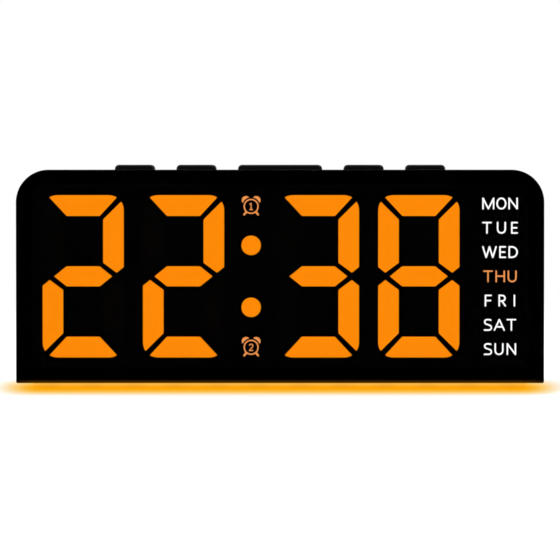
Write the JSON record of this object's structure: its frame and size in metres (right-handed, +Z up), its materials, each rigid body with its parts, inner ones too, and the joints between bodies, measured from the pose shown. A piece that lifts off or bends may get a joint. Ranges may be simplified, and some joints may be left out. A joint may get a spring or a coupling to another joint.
{
  "type": "digital day clock",
  "caption": "Wide low digital clock with large orange seven-segment digits, weekday legends down the right side, keys on top and a glowing strip underneath.",
  "frame": {"origin": "on the surface the feet stand on, at the centre of the clock's footprint", "axes": "+Z up, -Y towards the display's viewer, +X to the viewer's right"},
  "size_m": [0.165, 0.036, 0.0708],
  "materials": {
    "smoked_acrylic": "polished dark smoke tint",
    "adhesive_black": "dull black foam tape",
    "mask_black": "matt black print",
    "digit_orange": "translucent diffuser, lit",
    "legend_orange": "translucent diffuser, lit",
    "legend_white": "translucent diffuser, lit",
    "reflector_white": "satin moulded",
    "circuit_board": "solder mask over glass laminate",
    "board_white": "white solder mask",
    "led_body": "phosphor and resin",
    "chip_black": "moulded epoxy",
    "bright_metal": "nickel plate",
    "connector_white": "nylon",
    "case_black": "fine spark texture",
    "key_black": "satin",
    "plunger_dark": "moulded nylon",
    "night_light": "opal diffuser, lit",
    "foot_rubber": "translucent silicone",
    "screw_steel": "blackened steel",
    "cell_wrap": "printed foil wrap",
    "cable_sheath": "grey ribbon"
  },
  "bodies": {
    "clock": {"alarm_icon_1": "legend_orange", "alarm_icon_2": "legend_orange", "backup_cells": "cell_wrap", "battery_contacts": "bright_metal", "battery_springs": "bright_metal", "battery_wires": "cable_sheath", "board_connectors": "connector_white", "buzzer": "chip_black", "buzzer_wires": "cable_sheath", "case_screws": "screw_steel", "clock_crystal": "bright_metal", "colon_dots": "digit_orange", "digit_1": "digit_orange", "digit_2": "digit_orange", "digit_3": "digit_orange", "digit_4": "digit_orange", "display_leds": "led_body", "display_pcb": "circuit_board", "display_reflector": "reflector_white", "display_screws": "screw_steel", "driver_chips": "chip_black", "front_case": "case_black", "front_lens": "smoked_acrylic", "key_pcb": "circuit_board", "key_pcb_screws": "screw_steel", "key_ribbon": "cable_sheath", "key_switches": "plunger_dark", "lens_tape": "adhesive_black", "light_bar": "night_light", "light_bar_leds": "led_body", "light_bar_pcb": "board_white", "light_bar_wires": "cable_sheath", "light_mask": "mask_black", "power_pcb": "circuit_board", "power_pcb_screws": "screw_steel", "power_wires": "cable_sheath", "rear_cover": "case_black", "rubber_feet": "foot_rubber", "usb_c_socket": "bright_metal", "usb_c_tongue": "plunger_dark", "weekday_fri": "legend_white", "weekday_mon": "legend_white", "weekday_sat": "legend_white", "weekday_sun": "legend_white", "weekday_thu": "legend_orange", "weekday_tue": "legend_white", "weekday_wed": "legend_white"},
    "key_set": {"key_set": "key_black", "plunger_set": "plunger_dark"},
    "key_down": {"key_down": "key_black", "plunger_down": "plunger_dark"},
    "key_snooze": {"key_snooze": "key_black", "plunger_snooze": "plunger_dark"},
    "key_up": {"key_up": "key_black", "plunger_up": "plunger_dark"},
    "key_alarm": {"key_alarm": "key_black", "plunger_alarm": "plunger_dark"},
    "battery_door": {"battery_door": "case_black"}
  },
  "joints": [
    {"name": "press_set", "type": "slide", "parent": "clock", "child": "key_set", "axis": [0, 0, -1], "range_m": [0, 0.0005], "stiffness_N_per_m": 1200},
    {"name": "press_down", "type": "slide", "parent": "clock", "child": "key_down", "axis": [0, 0, -1], "range_m": [0, 0.0005], "stiffness_N_per_m": 1200},
    {"name": "press_snooze", "type": "slide", "parent": "clock", "child": "key_snooze", "axis": [0, 0, -1], "range_m": [0, 0.0005], "stiffness_N_per_m": 1200},
    {"name": "press_up", "type": "slide", "parent": "clock", "child": "key_up", "axis": [0, 0, -1], "range_m": [0, 0.0005], "stiffness_N_per_m": 1200},
    {"name": "press_alarm", "type": "slide", "parent": "clock", "child": "key_alarm", "axis": [0, 0, -1], "range_m": [0, 0.0005], "stiffness_N_per_m": 1200},
    {"name": "battery_door_hinge", "type": "hinge", "parent": "clock", "child": "battery_door", "pos_m": [-0.027, 0.0166, 0.03585], "axis": [0, 0, 1], "range_deg": [0, 95]}
  ]
}
